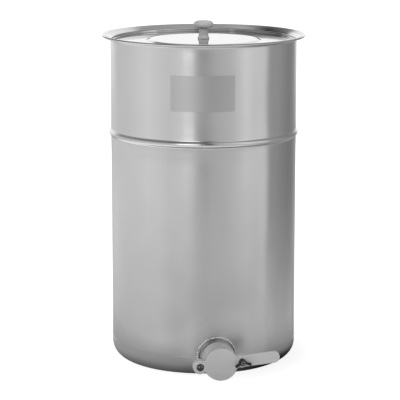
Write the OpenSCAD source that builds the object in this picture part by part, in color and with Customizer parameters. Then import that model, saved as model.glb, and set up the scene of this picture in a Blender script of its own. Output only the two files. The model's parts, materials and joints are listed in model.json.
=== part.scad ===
// Honey settling tank: a sheet-steel drum with a lift-off lid and a swing-blade honey gate.
// Z is up, the origin is the middle of the underside, and the gate looks along -Y.

/* [Drum] */
// Outer diameter of the drum's wall
drum_d = 600; // [500:1:720]
// Height of the rim above the floor
rim_z = 1060; // [850:1:1300]
// Thickness of the drum's sheet
sheet = 1; // [0.8:0.1:1.5]
// Outer radius of the knuckle between bottom and wall
knuckle_r = 50; // [40:1:60]
// Straight collar of the pressed bottom above its knuckle
collar_h = 16; // [10:1:30]
// Distance of the stiffening bead's middle below the rim
bead_drop = 315; // [200:1:400]
// How far the bead stands out of the wall
bead_out = 6; // [4:0.5:8]
// Height of the bead
bead_h = 26; // [20:1:36]
// Fillet where the bead runs into the wall, at mid sheet
bead_fillet = 6; // [3:0.5:8]
// Lean of the bead's flanks, as a share of what two plain arcs would give
bead_lean = 0.9; // [0.8:0.05:0.95]

/* [Rim] */
// How far the rim reaches outside the wall
flare_out = 28; // [20:1:40]
// Slope of the flared rim above the level
flare_angle = 29; // [20:1:40]
// Bend radius between wall and flare, at mid sheet
flare_bend = 5; // [3:0.5:8]
// Outer diameter of the curled edge
curl_d = 7; // [5:0.5:10]
// How far round the edge is curled
curl_turn = 290; // [240:5:310]

/* [Outlet] */
// Diameter of the passage that the honey runs through
outlet_d = 76; // [60:1:92]
// Wall of the gate's threaded spigot
spigot_wall = 6.7; // [5:0.1:9]
// Lead-in chamfer at the spigot's end
spigot_lead = 1; // [0.5:0.5:2]
// Wall of the steel socket round its thread
socket_wall = 10.5; // [7:0.5:13]
// How far the socket stands out of the drum's wall
socket_out = 24; // [18:1:34]
// Chamfer on the socket's outer edges
socket_edge = 1.5; // [0.5:0.5:2.5]
// Extra radius of the socket's welding flange
flange_step = 4.5; // [3:0.5:8]
// How far the welding flange stands out of the drum's wall
flange_out = 7; // [5:0.5:10]
// Gap between the welding flange and the floor
floor_gap = 10; // [4:1:30]
// Thickness of the flat gasket between socket and gate
gasket_t = 2.5; // [1.5:0.5:4]
// How far the gasket stays inside the barrel's edge
gasket_inset = 4; // [2:0.5:6]

/* [Gate body] */
// Turn of the gate about its own axis after screwing it home
gate_roll = 5.5; // [-15:0.5:15]
// Shoulder of the barrel outside the spigot
barrel_step = 9.3; // [7:0.1:12]
// Length of the barrel from its shoulder to its face
barrel_l = 62.5; // [50:0.5:80]
// Chamfer on the barrel's shoulder
barrel_edge = 3; // [1:0.5:4]
// Thickness of the ears that carry the two bolts
ear_t = 13; // [11:0.5:18]
// Radius of an ear round its bolt
ear_r = 22; // [18:0.5:26]
// Width of the neck between barrel and ear
ear_neck = 35; // [28:1:40]
// Thickness of the web behind each ear
web_t = 6; // [4:0.5:8]
// How far the webs run down the barrel behind the ears
web_l = 29; // [15:1:40]
// Cord diameter of the face seal
seal_d = 3.5; // [2.5:0.5:4.5]
// Distance of the seal's middle outside the passage
seal_step = 6; // [5:0.5:8]
// How far the seal stands out of its groove
seal_stand = 0.3; // [0.2:0.1:0.6]

/* [Gate blade] */
// How far the blade's disc overlaps the passage
blade_lap = 14; // [12:0.5:18]
// Thickness of the blade
blade_t = 12; // [9:0.5:16]
// Chamfer round the blade's front edges
blade_chamfer = 2; // [1:0.5:3]
// Distance of both bolts outside the blade's disc
bolt_step = 14.5; // [13:0.5:18]
// Width of the neck between the disc and the pivot's ear
blade_neck = 33; // [26:1:38]
// Width of the blade's handle
handle_w = 37; // [30:1:42]
// Rise of the handle's middle line above the bolts
handle_rise = 2; // [-2:0.5:4]
// Reach of the handle past the clamp bolt
handle_l = 119; // [80:1:160]
// Fillet between the disc and the handle
handle_fillet = 10; // [6:1:12]
// Play on each side of the clamp bolt in its slot
slot_play = 0.5; // [0.3:0.1:1]
// Extra radius of the pocket at the slot's closed end
slot_pocket = 0.4; // [0.2:0.1:0.8]

/* [Bolts] */
// Diameter of the pivot bolt
pivot_d = 10; // [8:1:12]
// Diameter of the pivot bolt's domed head
pivot_head_d = 24.4; // [20:0.2:28]
// Height of the domed head
pivot_head_h = 6.8; // [5:0.2:9]
// Width across the flats of the key sockets in the pivot bolt and the knob's screw
key_af = 6; // [5:0.5:7]
// Depth of those sockets
key_depth = 3.5; // [2.5:0.5:4.5]
// Diameter of the washer under the pivot nut
pivot_washer_d = 21; // [19:1:24]
// Thickness of that washer
pivot_washer_t = 2; // [1:0.5:3]
// Width across the flats of the pivot nut
pivot_nut_af = 17; // [15:1:19]
// Height of the pivot nut
pivot_nut_h = 9; // [6:0.5:11]
// Diameter of the clamp bolt
clamp_d = 8; // [6:1:8]
// Width across the flats of the clamp bolt's head
clamp_head_af = 13; // [11:1:15]
// Height of the clamp bolt's head
clamp_head_h = 5.3; // [4:0.1:6]
// Depth of the pocket that holds that head
clamp_pocket = 6.5; // [5:0.5:8]
// Length of thread that shows past a nut
thread_end = 2; // [1:0.5:4]

/* [Wing nut] */
// Diameter of the washer under the wing nut
clamp_washer_d = 24; // [20:1:28]
// Thickness of that washer
clamp_washer_t = 1.6; // [1:0.2:2.4]
// Height of the wing nut's hub
hub_h = 15; // [12:0.5:18]
// Radius of the hub at its foot
hub_r = 10; // [9:0.5:12]
// Radius of the hub at its front
hub_tip_r = 8.5; // [8:0.5:9]
// Outer radius of the threaded steel insert
nut_insert_r = 6.2; // [5.5:0.1:6.8]
// Span over both wings
wing_span = 54; // [46:1:64]
// Reach of the wings' tips forward of the hub's foot
wing_sweep = 21; // [18:1:26]
// Radius of the wings' round edges
wing_r = 4; // [3:0.5:4.5]
// Depth of a wing at its tip, between the middles of its edges
wing_depth = 6; // [3:0.5:8]
// Droop of each wing out of the line through the hub
wing_droop = 16; // [0:1:30]
// Turn of the wing nut against the line of the bolts when it is tight
wing_turn = 2; // [-90:1:90]

/* [Lid] */
// Thickness of the lid's sheet
lid_sheet = 1; // [0.8:0.1:1.5]
// Depth of the lid's sunk band below the rim
lid_depth = 21; // [20:1:40]
// Play between the lid's side and the drum's wall
lid_play = 2; // [1:0.5:4]
// How far the lid's lip reaches outside the drum's wall
lid_lip = 10; // [6:0.5:13]
// Bend radius between the lid's band and its side, at mid sheet
lid_bend = 3; // [2:0.5:4]
// Width of the sunk band round the lid's raised middle
lid_band = 112; // [60:1:130]
// Height of the raised middle above the sunk band
lid_step = 5; // [4:0.5:12]
// Width of the slope between them
lid_slope = 12; // [10:1:24]
// Bend radius at the top and foot of the slope, at mid sheet
lid_slope_bend = 8; // [4:0.5:10]

/* [Knob] */
// Diameter of the knob's cap
knob_d = 64; // [50:1:80]
// Height of the knob above the lid
knob_h = 58.5; // [48:0.5:70]
// Height of the cap alone
cap_h = 25; // [20:0.5:30]
// Fullness of the cap's side, where 1 is an ellipse and less is squarer
cap_side = 0.55; // [0.4:0.05:1]
// Fullness of the cap's crown, in the same measure
cap_crown = 0.8; // [0.6:0.05:1]
// Diameter of the stem at its waist
stem_d = 31; // [26:1:34]
// Diameter of the foot on the lid
foot_d = 37; // [35:1:46]
// Height of the foot's straight edge
foot_h = 4; // [3:0.5:8]
// Height of the taper from the foot to the stem
foot_taper = 6; // [3:0.5:10]
// Diameter of the knob's screw
knob_screw_d = 8; // [6:1:10]
// Length of the threaded insert in the knob
insert_l = 22; // [16:1:30]
// Wall of that insert
insert_wall = 2.5; // [2:0.5:4]
// Diameter of the washer under the lid
knob_washer_d = 29; // [24:1:36]
// Thickness of that washer
knob_washer_t = 1.5; // [1:0.5:3]
// Diameter of the screw's head
screw_head_d = 14.4; // [12:0.2:18]
// Height of the screw's head
screw_head_h = 4.8; // [3:0.2:7]

/* [Label] */
// Width of the label round the wall
label_w = 203; // [120:1:260]
// Height of the label
label_h = 112; // [60:1:140]
// Thickness of the label
label_t = 0.4; // [0.2:0.1:1]
// Distance of the label's middle below the rim
label_drop = 155.5; // [110:0.5:210]
// Turn of the label's middle round the drum from the gate, to the viewer's right
label_turn = -8.5; // [-40:0.5:40]

/* [Fits] */
// Running gap between pieces that slide past each other
slide_gap = 0.3; // [0.2:0.05:0.6]
// Radial play between the gate's spigot and its socket
thread_play = 0.3; // [0.2:0.05:0.5]
// Radial play of a bolt in a plain hole
bolt_play = 0.15; // [0.1:0.05:0.3]
// Play of a press-in insert, a nut on its thread and a glued label
press_play = 0.05; // [0.02:0.01:0.1]

/* [Hidden] */
$fn = 96;
// Fineness of the spheres that the wings are drawn over
wing_fn = 32;
// Largest turn, in degrees, between two points of a bend
bend_step = 5;
// How far a cutting shape runs clear of a face
clear = 1;

drum_r = drum_d / 2;
wall_mid = drum_r - sheet / 2;
seam_z = knuckle_r + collar_h;
bead_z = rim_z - bead_drop;

outlet_r = outlet_d / 2;
spigot_r = outlet_r + spigot_wall;
socket_bore_r = spigot_r + thread_play;
socket_r = socket_bore_r + socket_wall;
flange_r = socket_r + flange_step;
outlet_z = flange_r + floor_gap;
barrel_r = spigot_r + barrel_step;
seal_r = outlet_r + seal_step;
blade_r = outlet_r + blade_lap;
bolt_x = blade_r + bolt_step;

// Places along the gate's axis, measured from the drum's axis
socket_face = drum_r + socket_out;
shoulder_at = socket_face + gasket_t;
face_at = shoulder_at + barrel_l;
ear_back = face_at - ear_t;
seal_back = face_at + seal_stand - seal_d;
blade_back = face_at + seal_stand + slide_gap;
blade_front = blade_back + blade_t;
head_seat = blade_front + slide_gap;
wing_nut_foot = head_seat + clamp_washer_t;
pivot_nut_top = ear_back - pivot_washer_t;
clamp_head_seat = ear_back + clamp_pocket;

// The flare's straight run, from the wall's mid line to the curl
curl_mid_r = (curl_d - sheet) / 2;
curl_centre = [drum_r + flare_out - curl_d / 2, rim_z - curl_d / 2];
flare_normal = [-sin(flare_angle), cos(flare_angle)];
curl_start = curl_centre + curl_mid_r * flare_normal;
flare_foot_z = curl_start.y - (curl_start.x - wall_mid) * tan(flare_angle);

// The lid's side and lip follow the drum's wall and flare at the sliding gap
lid_side = drum_r - sheet - lid_play - lid_sheet / 2;
lid_gap = slide_gap + (sheet + lid_sheet) / 2;
lid_floor = rim_z - lid_depth - lid_sheet / 2;
lid_top = lid_floor + lid_step + lid_sheet / 2;
lip_end = drum_r + lid_lip;
insert_r = knob_screw_d / 2 + insert_wall;
screw_seat = lid_top - lid_sheet - knob_washer_t;

function unit(v) = v / norm(v);
function left_of(v) = [-v.y, v.x];
function turned_over(line) = [for (i = [len(line) - 1:-1:0]) line[i]];

// Points of a bend of radius r that rounds corner b between a and c
function bend(a, b, c, r) =
    let (u = unit(a - b),
         w = unit(c - b),
         half = acos(u * w) / 2,
         centre = b + r / sin(half) * unit(u + w),
         start = b + r / tan(half) * u - centre,
         from = atan2(start.y, start.x),
         side = sign(u.x * w.y - u.y * w.x),
         turn = -side * (180 - 2 * half),
         n = ceil(abs(turn) / bend_step))
    [for (i = [0:n]) centre + r * [cos(from + turn * i / n), sin(from + turn * i / n)]];

// Mid line of a bent sheet: each corner is [r, z, bend radius], and the two ends have no bend
function bent_line(corners) =
    let (at = [for (k = corners) [k[0], k[1]]],
         last = len(at) - 1)
    [at[0],
     for (i = [1:1:last - 1]) each bend(at[i - 1], at[i], at[i + 1], corners[i][2]),
     at[last]];

// A line moved sideways by d, to the left of the way it runs
function beside(line, d) =
    let (last = len(line) - 1)
    [for (i = [0:last])
        let (n0 = left_of(unit(line[max(i, 1)] - line[max(i - 1, 0)])),
             n1 = left_of(unit(line[min(i + 1, last)] - line[min(i, last - 1)])),
             n = unit(n0 + n1))
        line[i] + d / (n * n1) * n];

// Section of a sheet of thickness t bent along a mid line
module sheet_section(line, t) {
    polygon(concat(beside(line, t / 2), turned_over(beside(line, -t / 2))));
}

// Mid line of the wall from the bottom's seam over the bead to the curled rim.
// The bead's flanks lean a little less than two plain arcs would, so a short straight stays in each.
function shell_line() =
    let (half = bead_h / 2,
         flank = 2 * bead_lean * atan(bead_out / half),
         foot = half - bead_fillet * tan(flank / 2),
         apex = foot * tan(flank),
         crest = (apex - bead_out) / (1 / cos(flank) - 1),
         n = ceil(curl_turn / bend_step))
    concat(
        bent_line([
            [wall_mid, seam_z],
            [wall_mid, bead_z - foot, bead_fillet],
            [wall_mid + apex, bead_z, crest],
            [wall_mid, bead_z + foot, bead_fillet],
            [wall_mid, flare_foot_z, flare_bend],
            curl_start]),
        [for (i = [1:n])
            let (a = 90 + flare_angle - curl_turn * i / n)
            curl_centre + curl_mid_r * [cos(a), sin(a)]]);

function bottom_line() = bent_line([
    [0, sheet / 2],
    [wall_mid, sheet / 2, knuckle_r - sheet / 2],
    [wall_mid, seam_z]]);

function lid_line() =
    let (corner_z = flare_foot_z + (lid_side - wall_mid) * tan(flare_angle) + lid_gap / cos(flare_angle),
         end_z = corner_z + (lip_end - lid_side) * tan(flare_angle),
         slope_foot = lid_side - lid_band)
    bent_line([
        [knob_screw_d / 2 + bolt_play, lid_floor + lid_step],
        [slope_foot - lid_slope, lid_floor + lid_step, lid_slope_bend],
        [slope_foot, lid_floor, lid_slope_bend],
        [lid_side, lid_floor, lid_bend],
        [lid_side, corner_z, flare_bend],
        [lip_end, end_z]]);

// Everything inside the drum's outer skin, up to above the outlet
module drum_envelope() {
    top = max(outlet_z + flange_r, seam_z) + clear;
    skin = bent_line([[0, 0], [drum_r, 0, knuckle_r], [drum_r, top]]);
    rotate_extrude() polygon(concat(skin, [[0, top]]));
}

// The outlet's frame: x to the viewer's right, y up, z out along the outlet's axis
module at_outlet() {
    translate([0, 0, outlet_z]) rotate([90, 0, 0]) children();
}

module at_gate() {
    at_outlet() rotate([0, 0, gate_roll]) children();
}

module at_pivot() {
    at_gate() translate([-bolt_x, 0, 0]) children();
}

module at_clamp() {
    at_gate() translate([bolt_x, 0, 0]) children();
}

module at_wing_nut() {
    at_clamp() translate([0, 0, wing_nut_foot]) rotate([0, 0, wing_turn]) children();
}

// A round bar from one place to another along z
module rod(r, from, to) {
    translate([0, 0, from]) cylinder(r = r, h = to - from);
}

module ring(r_in, r_out, from, to) {
    difference() {
        rod(r_out, from, to);
        rod(r_in, from - clear, to + clear);
    }
}

module hex(af, from, to) {
    translate([0, 0, from]) cylinder(r = af / 2 / cos(30), h = to - from, $fn = 6);
}

module outlet_hole() {
    at_outlet() rod(socket_bore_r, 0, drum_r + clear);
}

module drum_shell() {
    color("silver") difference() {
        rotate_extrude() sheet_section(shell_line(), sheet);
        outlet_hole();
    }
}

module drum_bottom() {
    color("silver") difference() {
        rotate_extrude() sheet_section(bottom_line(), sheet);
        outlet_hole();
    }
}

// Bare label, curved round the front of the wall
module label_plate() {
    span = label_w / drum_r * 180 / PI;
    color("gainsboro")
    rotate([0, 0, label_turn - 90 - span / 2])
    rotate_extrude(angle = span)
    translate([drum_r + press_play, rim_z - label_drop - label_h / 2])
    square([label_t, label_h]);
}

// Turned steel socket with a welding flange, cut to sit on the drum's wall and knuckle
module outlet_socket() {
    inner_end = drum_r - knuckle_r - clear;
    flange_face = drum_r + flange_out;
    color("lightsteelblue") difference() {
        at_outlet() rotate_extrude() polygon([
            [socket_bore_r, inner_end], [flange_r, inner_end],
            [flange_r, flange_face - socket_edge], [flange_r - socket_edge, flange_face],
            [socket_r, flange_face], [socket_r, socket_face - socket_edge],
            [socket_r - socket_edge, socket_face], [socket_bore_r, socket_face]]);
        drum_envelope();
    }
}

module gate_gasket() {
    color("dimgray") at_outlet()
        ring(spigot_r + thread_play, barrel_r - gasket_inset, socket_face, shoulder_at);
}

// Outline of the gate's face: the barrel with an ear on each side
module ear_outline() {
    circle(r = barrel_r);
    square([2 * bolt_x, ear_neck], center = true);
    for (side = [-1, 1]) translate([side * bolt_x, 0]) circle(r = ear_r);
}

// Tapered web from the barrel to the back of an ear, ending clear of the nut and its washer
module ear_web() {
    root = outlet_r + clear;
    tip = bolt_x - pivot_washer_d / 2 - clear;
    rotate([90, 0, 0]) translate([0, 0, -web_t / 2]) linear_extrude(web_t)
        polygon([[root, ear_back - web_l], [barrel_r, ear_back - web_l], [tip, ear_back],
                 [tip, ear_back + clear], [root, ear_back + clear]]);
}

// Moulded body: a threaded spigot, a barrel, and a flat face with an ear for each bolt
module gate_body() {
    spigot_end = drum_r - sheet;
    color("darkgray") difference() {
        at_gate() union() {
            rotate_extrude() polygon([
                [outlet_r, spigot_end], [spigot_r - spigot_lead, spigot_end],
                [spigot_r, spigot_end + spigot_lead], [spigot_r, shoulder_at],
                [barrel_r - barrel_edge, shoulder_at], [barrel_r, shoulder_at + barrel_edge],
                [barrel_r, face_at], [outlet_r, face_at]]);
            translate([0, 0, ear_back]) linear_extrude(ear_t) ear_outline();
            for (side = [0, 180]) rotate([0, 0, side]) ear_web();
        }
        at_gate() rod(outlet_r, ear_back - clear, face_at + clear);
        at_gate() ring(seal_r - seal_d / 2, seal_r + seal_d / 2, seal_back, face_at + clear);
        at_pivot() rod(pivot_d / 2 + bolt_play, ear_back - clear, face_at + clear);
        at_clamp() rod(clamp_d / 2 + bolt_play, ear_back - clear, face_at + clear);
        at_clamp() hex(clamp_head_af + 2 * bolt_play, ear_back - clear, clamp_head_seat);
    }
}

module face_seal() {
    color("dimgray") at_gate() translate([0, 0, seal_back + seal_d / 2])
        rotate_extrude() translate([seal_r, 0]) circle(d = seal_d - 2 * press_play);
}

// A round, straight or hollow edge of the blade, each with the same chamfer at the front
module puck(r, angle = 360) {
    rotate_extrude(angle = angle) polygon([
        [0, 0], [r, 0], [r, blade_t - blade_chamfer], [r - blade_chamfer, blade_t], [0, blade_t]]);
}

module bar(w, from, to) {
    half = w / 2;
    translate([from, 0, 0]) rotate([90, 0, 90]) linear_extrude(to - from) polygon([
        [-half, 0], [half, 0], [half, blade_t - blade_chamfer], [half - blade_chamfer, blade_t],
        [blade_chamfer - half, blade_t], [-half, blade_t - blade_chamfer]]);
}

// Fillet in the corner between the disc and the edge of the handle that lies at height edge
module root_fillet(edge) {
    r = handle_fillet;
    reach = blade_r + r;
    centre = [sqrt(reach * reach - (edge + r) * (edge + r)), edge + r];
    difference() {
        linear_extrude(blade_t) polygon([[0, 0], [centre.x, 0], centre]);
        translate(centre) rotate_extrude() polygon([
            [0, -clear], [r, -clear], [r, blade_t - blade_chamfer], [r + blade_chamfer, blade_t],
            [r + blade_chamfer, blade_t + clear], [0, blade_t + clear]]);
    }
}

// Path of the clamp bolt through the handle, an arc about the pivot that is open below
module clamp_slot() {
    half = clamp_d / 2 + slot_play;
    swing = 2 * bolt_x;
    turn = asin(handle_w / swing);
    translate([-bolt_x, 0, -clear]) linear_extrude(blade_t + 2 * clear) {
        intersection() {
            difference() {
                circle(r = swing + half);
                circle(r = swing - half);
            }
            polygon([[0, 0], [2 * swing, 0], 2 * swing * [cos(turn), -sin(turn)]]);
        }
        translate([swing, 0]) circle(r = half + slot_pocket);
    }
}

module gate_blade() {
    end = bolt_x + handle_l - handle_w / 2;
    color("darkgray") difference() {
        at_gate() translate([0, 0, blade_back]) difference() {
            union() {
                puck(blade_r);
                translate([-bolt_x, 0, 0]) puck(ear_r);
                bar(blade_neck, -bolt_x, 0);
                translate([0, handle_rise, 0]) bar(handle_w, 0, end);
                translate([end, handle_rise, 0]) rotate([0, 0, -90]) puck(handle_w / 2, 180);
                root_fillet(handle_w / 2 + handle_rise);
                mirror([0, 1, 0]) root_fillet(handle_w / 2 - handle_rise);
            }
            clamp_slot();
        }
        at_pivot() rod(pivot_d / 2 + bolt_play, blade_back - clear, blade_front + clear);
    }
}

module pivot_bolt() {
    head_r = pivot_head_d / 2;
    dome_r = (head_r * head_r + pivot_head_h * pivot_head_h) / (2 * pivot_head_h);
    head_top = head_seat + pivot_head_h;
    color("silver") at_pivot() difference() {
        union() {
            translate([0, 0, head_seat]) rotate_extrude() intersection() {
                translate([0, pivot_head_h - dome_r]) circle(r = dome_r);
                square([head_r, pivot_head_h]);
            }
            rod(pivot_d / 2, pivot_nut_top - pivot_nut_h - thread_end, head_seat);
        }
        hex(key_af, head_top - key_depth, head_top + clear);
    }
}

module pivot_washer() {
    color("silver") at_pivot()
        ring(pivot_d / 2 + bolt_play, pivot_washer_d / 2, pivot_nut_top, ear_back);
}

module pivot_nut() {
    color("silver") at_pivot() difference() {
        hex(pivot_nut_af, pivot_nut_top - pivot_nut_h, pivot_nut_top);
        rod(pivot_d / 2 + press_play, pivot_nut_top - pivot_nut_h - clear, pivot_nut_top + clear);
    }
}

module clamp_bolt() {
    color("silver") at_clamp() {
        hex(clamp_head_af, clamp_head_seat - clamp_head_h, clamp_head_seat);
        rod(clamp_d / 2, clamp_head_seat, wing_nut_foot + hub_h + thread_end);
    }
}

module clamp_washer() {
    color("silver") at_clamp()
        ring(clamp_d / 2 + bolt_play, clamp_washer_d / 2, head_seat, wing_nut_foot);
}

// Moulded wing nut: a tapered hub with two round-edged wings that sweep forward and droop
module wing_nut() {
    tip = [wing_span / 2 - wing_r, wing_sweep - wing_r];
    root = [nut_insert_r, hub_h / 2];
    ends = [root, root - [0, wing_depth / 2], tip, tip - [0, wing_depth]];
    color("black") at_wing_nut() difference() {
        union() {
            cylinder(r1 = hub_r, r2 = hub_tip_r, h = hub_h);
            for (side = [-wing_droop, 180 + wing_droop]) rotate([0, 0, side]) hull() {
                for (p = ends) translate([p.x, 0, p.y]) sphere(r = wing_r, $fn = wing_fn);
            }
        }
        rod(nut_insert_r, -clear, wing_sweep + clear);
    }
}

module wing_nut_insert() {
    color("silver") at_wing_nut()
        ring(clamp_d / 2 + press_play, nut_insert_r - press_play, 0, hub_h);
}

module lid_pan() {
    color("whitesmoke") rotate_extrude() sheet_section(lid_line(), lid_sheet);
}

// Outline of the knob: a full, rounded cap on a stem with a flat foot
module knob_outline() {
    half = cap_h / 2;
    waist = knob_h - half;
    under = acos(pow(stem_d / knob_d, 1 / cap_side));
    steps = ceil((90 + under) / bend_step);
    polygon(concat(
        [[0, 0], [foot_d / 2, 0], [foot_d / 2, foot_h], [stem_d / 2, foot_h + foot_taper]],
        [for (i = [0:steps]) let (a = i / steps * (90 + under) - under)
            [knob_d / 2 * pow(max(cos(a), 0), cap_side),
             waist + half * sign(a) * pow(abs(sin(a)), cap_crown)]]));
}

module lid_knob() {
    color("darkgray") translate([0, 0, lid_top]) difference() {
        rotate_extrude() knob_outline();
        rod(insert_r, -clear, insert_l);
    }
}

module knob_insert() {
    color("goldenrod") translate([0, 0, lid_top])
        ring(knob_screw_d / 2 + press_play, insert_r - press_play, 0, insert_l);
}

module knob_screw() {
    head_low = screw_seat - screw_head_h;
    color("silver") difference() {
        union() {
            rod(screw_head_d / 2, head_low, screw_seat);
            rod(knob_screw_d / 2, screw_seat, lid_top + insert_l - thread_end);
        }
        hex(key_af, head_low - clear, head_low + key_depth);
    }
}

module knob_washer() {
    color("silver") ring(knob_screw_d / 2 + bolt_play, knob_washer_d / 2, screw_seat, lid_top - lid_sheet);
}

drum_shell();
drum_bottom();
label_plate();
outlet_socket();
gate_gasket();
gate_body();
face_seal();
gate_blade();
pivot_bolt();
pivot_washer();
pivot_nut();
clamp_bolt();
clamp_washer();
wing_nut();
wing_nut_insert();
lid_pan();
lid_knob();
knob_insert();
knob_screw();
knob_washer();
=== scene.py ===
"""Looks of a honey settling tank: a sheet-steel drum, its sunk lid and its swing-blade gate."""

import json
import math

import bmesh
import bpy
from mathutils import Matrix, Vector, noise


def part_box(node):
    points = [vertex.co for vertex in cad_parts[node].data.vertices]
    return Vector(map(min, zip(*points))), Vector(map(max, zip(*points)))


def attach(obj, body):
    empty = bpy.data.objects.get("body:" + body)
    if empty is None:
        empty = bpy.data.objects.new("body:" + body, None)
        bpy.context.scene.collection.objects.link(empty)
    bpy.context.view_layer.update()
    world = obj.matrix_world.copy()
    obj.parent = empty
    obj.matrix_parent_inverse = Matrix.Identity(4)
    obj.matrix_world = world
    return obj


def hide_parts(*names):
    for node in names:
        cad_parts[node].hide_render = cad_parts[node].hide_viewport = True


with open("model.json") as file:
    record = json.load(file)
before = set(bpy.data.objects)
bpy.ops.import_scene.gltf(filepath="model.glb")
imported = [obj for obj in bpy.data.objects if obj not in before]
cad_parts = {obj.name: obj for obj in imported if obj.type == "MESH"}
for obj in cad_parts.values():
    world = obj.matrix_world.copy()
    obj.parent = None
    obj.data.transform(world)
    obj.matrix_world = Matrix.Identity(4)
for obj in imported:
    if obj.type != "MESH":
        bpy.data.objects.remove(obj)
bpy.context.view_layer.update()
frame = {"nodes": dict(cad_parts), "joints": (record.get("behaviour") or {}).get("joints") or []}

# Shapes are drawn in millimetres and made in metres
MM = 0.001
TINY = 1e-6
TOUCH = 0.01
SHEET = 1.0
BEND_STEP = math.radians(7)
WALL_STEP = 16.0
DRUM_STEPS = 240
RING_STEPS = 160
EDGE_ANGLE = math.radians(35)
HEX_TURN = math.radians(60)
SMALL_ROUND = 0.8

# How far a cutting bar runs past what it cuts
PAST = 1

# Drum
KNUCKLE_R = 50
BEAD_Z = 745
BEAD_HALF = 13
BEAD_OUT = 6
BEAD_FILLET = 6
BEAD_LEAN = 0.9
FLARE_ANGLE = math.radians(29)
FLARE_BEND = 5
CURL_D = 7
CURL_TURN = math.radians(290)
OUTLET_HOLE_R = 45
FLANGE_R = 60
LABEL_W = 203
LABEL_TURN = math.radians(-8.5)
LABEL_T = 0.4
LABEL_GAP = 0.05
LABEL_CORNER = 2.5
LABEL_STEP = 5
LABEL_ROWS = 14
LABEL_FAN = 6

# Dents of the rolled wall, and the distances over which they set in
DENT_MEAN = 0.6
DENT_WAVE = 0.55
DENT_WAVES = 2.6
DENT_WAVE_H = 260
DENT_RIPPLE = 0.15
DENT_RIPPLES = 8
DENT_RIPPLE_H = 90
STILL_SEAM = (0, 90)
STILL_BEAD = (15, 60)
STILL_RIM = (40, 110)
STILL_OUTLET = (75, 150)

# Welds
SEAM_HALF = 2.5
SEAM_PROUD = 0.25
SEAM_SUNK = 0.3
FOOT_WELD_R = 0.9
FOOT_WELD_SUNK = 0.2
WELD_R = 4.3
WELD_LUMP = 1.6
WELD_LUMPS = 5
WELD_RIPPLE = 0.2
WELD_RIPPLES = 60
WELD_STEPS = 480

# Lid and knob
LID_SIDE_R = 296.5
LID_SLOPE_FOOT_R = 184.5
LID_SLOPE_TOP_R = 172.5
LID_SLOPE_BEND = 8
LID_BEND = 3
LID_STEP = 5
LID_LIP_R = 310
LID_GAP = 1.3
LID_HOLE_R = 4.15
LID_FINE_STEP = 8
LID_WAVE = 0.12
LID_WAVE_L = 70
LID_STILL_KNOB = (30, 60)
LID_STILL_TOP = (5, 30)
LID_STILL_FOOT = (7, 20)
LID_STILL_SIDE = (11, 26)
FOOT_R = 18.5
FOOT_H = 4
FOOT_TAPER = 6
FOOT_TOP_ROUND = 1.2
STEM_R = 15.5
STEM_BEND = 6
CAP_R = 32
CAP_HALF = 12.5
CAP_SIDE = 0.55
CAP_CROWN = 0.8
CAP_STEPS = 80
INSERT_R = 6.5
INSERT_L = 22
SCREW_HEAD_R = 7.2
SCREW_HEAD_H = 4.8
SCREW_HEAD_ROUND = 2
SCREW_R = 4
SCREW_NECK = 3
SCREW_TIP = 1

# Key sockets, threads and bolt ends
KEY_R = 3
KEY_DEPTH = 3.5
KEY_LEAD = 0.4
KEY_RIM = 0.6
KEY_MARGIN = 0.1
M8_PITCH = 1.25
M10_PITCH = 1.5
THREAD_DEPTH = 0.6
THREAD_STEP = 0.25
CLAMP_THREAD_STEP = 0.21
M8_TIP = 0.9
M10_TIP = 1
HEAD_EDGE = 0.3
NUT_PLAY = 0.05
NUT_LEAD = 0.7
NUT_FACE = 0.96
BOLT_FACE = 0.95

# Gate
OUTLET_R = 38
SPIGOT_R = 44.7
BARREL_R = 54
BARREL_INSET = 0.5
BARREL_SHY = 3
BORE_SPARE = 2
SPIGOT_LEAD = 1
SHOULDER_BEND = 3
BODY_BACK_ROUND = 2
EAR_R = 22
EAR_T = 13
EAR_FILLET = 5
WEB_HALF = 3
WEB_L = 29
SEAL_R = 44
SEAL_HALF = 1.75
SEAL_DEPTH = 3.2
BLADE_R = 52
BLADE_ROUND = 2
BLADE_BACK_ROUND = 0.6
HANDLE_HALF = 18.5
HANDLE_RISE = 2
HANDLE_END = 167
HANDLE_FILLET = 10
SLOT_HALF = 4.5
SLOT_POCKET_R = 4.9
SLOT_TURN = math.radians(12)
PIVOT_R = 5
PIVOT_HEAD_R = 12.2
PIVOT_HEAD_H = 6.8
DOME_EDGE = 0.04
PIVOT_NUT_AF = 17
CLAMP_R = 4
CLAMP_HEAD_AF = 13
CLAMP_HEAD_H = 5.3
CLAMP_THREAD_BELOW = 8
BOLT_PLAY = 0.15
HUB_R = 10
HUB_TIP_R = 8.5
HUB_H = 15
HUB_TIP_ROUND = 1
NUT_INSERT_R = 6.2
WING_R = 4
WING_CLEAR = 8
NUT_VOXEL = 0.4
WING_TURN = math.radians(2)
WING_DROOP = math.radians(16)
WING_POINTS = ((6.2, 7.5), (6.2, 4.5), (23, 17), (23, 11))

# Camera, as the photograph was taken, in metres
CAMERA_AZIMUTH = math.radians(-8)
CAMERA_DISTANCE = 5.924
CAMERA_HEIGHT = 1.6765
CAMERA_LENS = 165.9
AIM_HEIGHT = 0.5142
AIM_SIDE = -0.0114

# Brightness of the lit wall behind the tank, and of the patches of light in front of it
BACK_LIGHT = 1.12
PANEL_LIGHT = 2.4
STRIP_LIGHT = 1.28
GAP_LIGHT = 0.16

# Floor, the card that lies on it, and the overhead lamp, in metres
FLOOR_SIZE = 60
FLOOR_GLOW = 0.9
CARD_R = 0.75
CARD_LIFT = 0.0008
LAMP_POWER = 0.8
LAMP_SPREAD = math.radians(70)
LAMP_TILT = (math.radians(32), math.radians(-24), 0)


def node_box(node):
    return [Vector(corner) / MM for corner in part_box(node)]


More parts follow.
